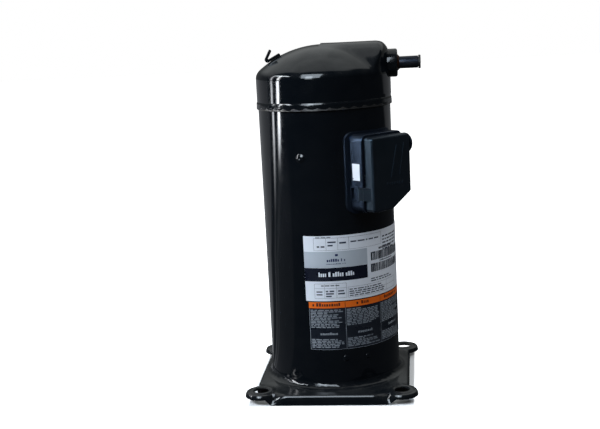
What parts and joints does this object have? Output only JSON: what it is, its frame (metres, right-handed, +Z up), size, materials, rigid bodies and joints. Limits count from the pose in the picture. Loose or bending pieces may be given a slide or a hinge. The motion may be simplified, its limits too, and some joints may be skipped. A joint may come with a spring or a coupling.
{
  "type": "scroll compressor",
  "caption": "Hermetic scroll compressor: upright welded steel shell with domed cap, footed base, side terminal box and pipe stubs, holding a motor-driven scroll set.",
  "frame": {"origin": "on the shaft's axis, level with the underside of the base", "axes": "+Z up along the shaft; +X along the discharge stub; -Y is the front, with the label; the suction stub leaves along +Y"},
  "size_m": [0.2517, 0.2497, 0.4765],
  "materials": {
    "black_paint": "gloss black baked paint",
    "black_plastic": "satin moulded black plastic",
    "black_rubber": "matt rubber shipping plug",
    "dark_steel": "dull darkened steel",
    "copper": null,
    "steel": "machined steel",
    "cast_iron": "machined grey iron",
    "lamination": "stacked electrical steel",
    "winding": null,
    "aluminium": "machined aluminium",
    "bronze": "bearing bronze",
    "seal_polymer": "filled seal polymer",
    "white_plastic": "off-white insulating plastic",
    "label_white": null,
    "label_grey": null
  },
  "bodies": {
    "shell": {"top_cap": "black_paint", "main_shell": "black_paint", "base_plate": "black_paint", "lifting_lug": "black_paint", "discharge_fitting": "black_paint", "discharge_stub": "dark_steel", "suction_fitting": "black_paint", "suction_stub": "copper", "terminal_box": "black_plastic", "conduit_knockout": "black_plastic", "hermetic_terminal": "steel", "terminal_pin_1": "steel", "terminal_pin_2": "steel", "terminal_pin_3": "steel", "terminal_block": "white_plastic", "internal_plug": "white_plastic", "ground_screw": "bronze", "nameplate_label": "label_white", "care_label": "label_grey", "muffler_plate": "dark_steel", "relief_valve": "bronze", "valve_retainer": "steel", "fixed_scroll": "cast_iron", "scroll_bolt_1": "steel", "scroll_bolt_2": "steel", "scroll_bolt_3": "steel", "scroll_bolt_4": "steel", "main_bearing_housing": "cast_iron", "main_bearing": "bronze", "stator_core": "lamination", "upper_winding": "winding", "lower_winding": "winding", "motor_protector": "steel", "motor_leads": "white_plastic", "lower_bearing_bracket": "cast_iron", "lower_bearing": "bronze", "thrust_washer": "steel", "suction_baffle": "dark_steel", "debris_magnet": "dark_steel"},
    "crank": {"crankshaft": "steel", "drive_bushing": "steel", "upper_counterweight": "cast_iron", "lower_counterweight": "bronze", "rotor": "lamination", "oil_pickup": "steel"},
    "orbiting_scroll": {"orbiting_scroll": "cast_iron", "orbiting_bearing": "bronze"},
    "oldham_ring": {"oldham_ring": "aluminium"},
    "oldham_keys": {"oldham_key_right": "aluminium", "oldham_key_left": "aluminium", "oldham_key_back": "aluminium", "oldham_key_front": "aluminium"},
    "floating_seal": {"seal_lower_plate": "aluminium", "inner_lip_seal": "seal_polymer", "outer_lip_seal": "seal_polymer", "seal_upper_plate": "cast_iron"},
    "discharge_valve": {"discharge_valve": "steel"},
    "terminal_cover": {"terminal_cover": "black_plastic"},
    "discharge_plug": {"discharge_plug": "black_rubber"},
    "suction_plug": {"suction_plug": "black_rubber"}
  },
  "joints": [
    {"name": "crank_spin", "type": "hinge", "parent": "shell", "child": "crank", "pos_m": [0, 0, 0.185], "axis": [0, 0, 1], "continuous": true},
    {"name": "scroll_orbit", "type": "hinge", "parent": "crank", "child": "orbiting_scroll", "pos_m": [0.0057, 0, 0.331], "axis": [0, 0, 1], "continuous": true},
    {"name": "oldham_ring_turn", "type": "hinge", "parent": "crank", "child": "oldham_ring", "pos_m": [0.00285, 0, 0.3375], "axis": [0, 0, 1], "continuous": true},
    {"name": "oldham_key_turn", "type": "hinge", "parent": "oldham_ring", "child": "oldham_keys", "pos_m": [0.0057, 0, 0.3375], "axis": [0, 0, 1], "continuous": true},
    {"name": "floating_seal_lift", "type": "slide", "parent": "shell", "child": "floating_seal", "axis": [0, 0, 1], "range_m": [0, 0.0008]},
    {"name": "discharge_valve_lift", "type": "slide", "parent": "shell", "child": "discharge_valve", "axis": [0, 0, 1], "range_m": [0, 0.0025]},
    {"name": "terminal_cover_release", "type": "slide", "parent": "shell", "child": "terminal_cover", "axis": [0.7314, -0.682, 0], "range_m": [0, 0.03]},
    {"name": "discharge_plug_pull", "type": "slide", "parent": "shell", "child": "discharge_plug", "axis": [1, 0, 0], "range_m": [0, 0.02]},
    {"name": "suction_plug_pull", "type": "slide", "parent": "shell", "child": "suction_plug", "axis": [0, 1, 0], "range_m": [0, 0.025]}
  ],
  "couplings": [
    {"joint": "scroll_orbit", "follows": "crank_spin", "ratio": -1},
    {"joint": "oldham_ring_turn", "follows": "crank_spin", "ratio": -2},
    {"joint": "oldham_key_turn", "follows": "crank_spin", "ratio": 1}
  ]
}
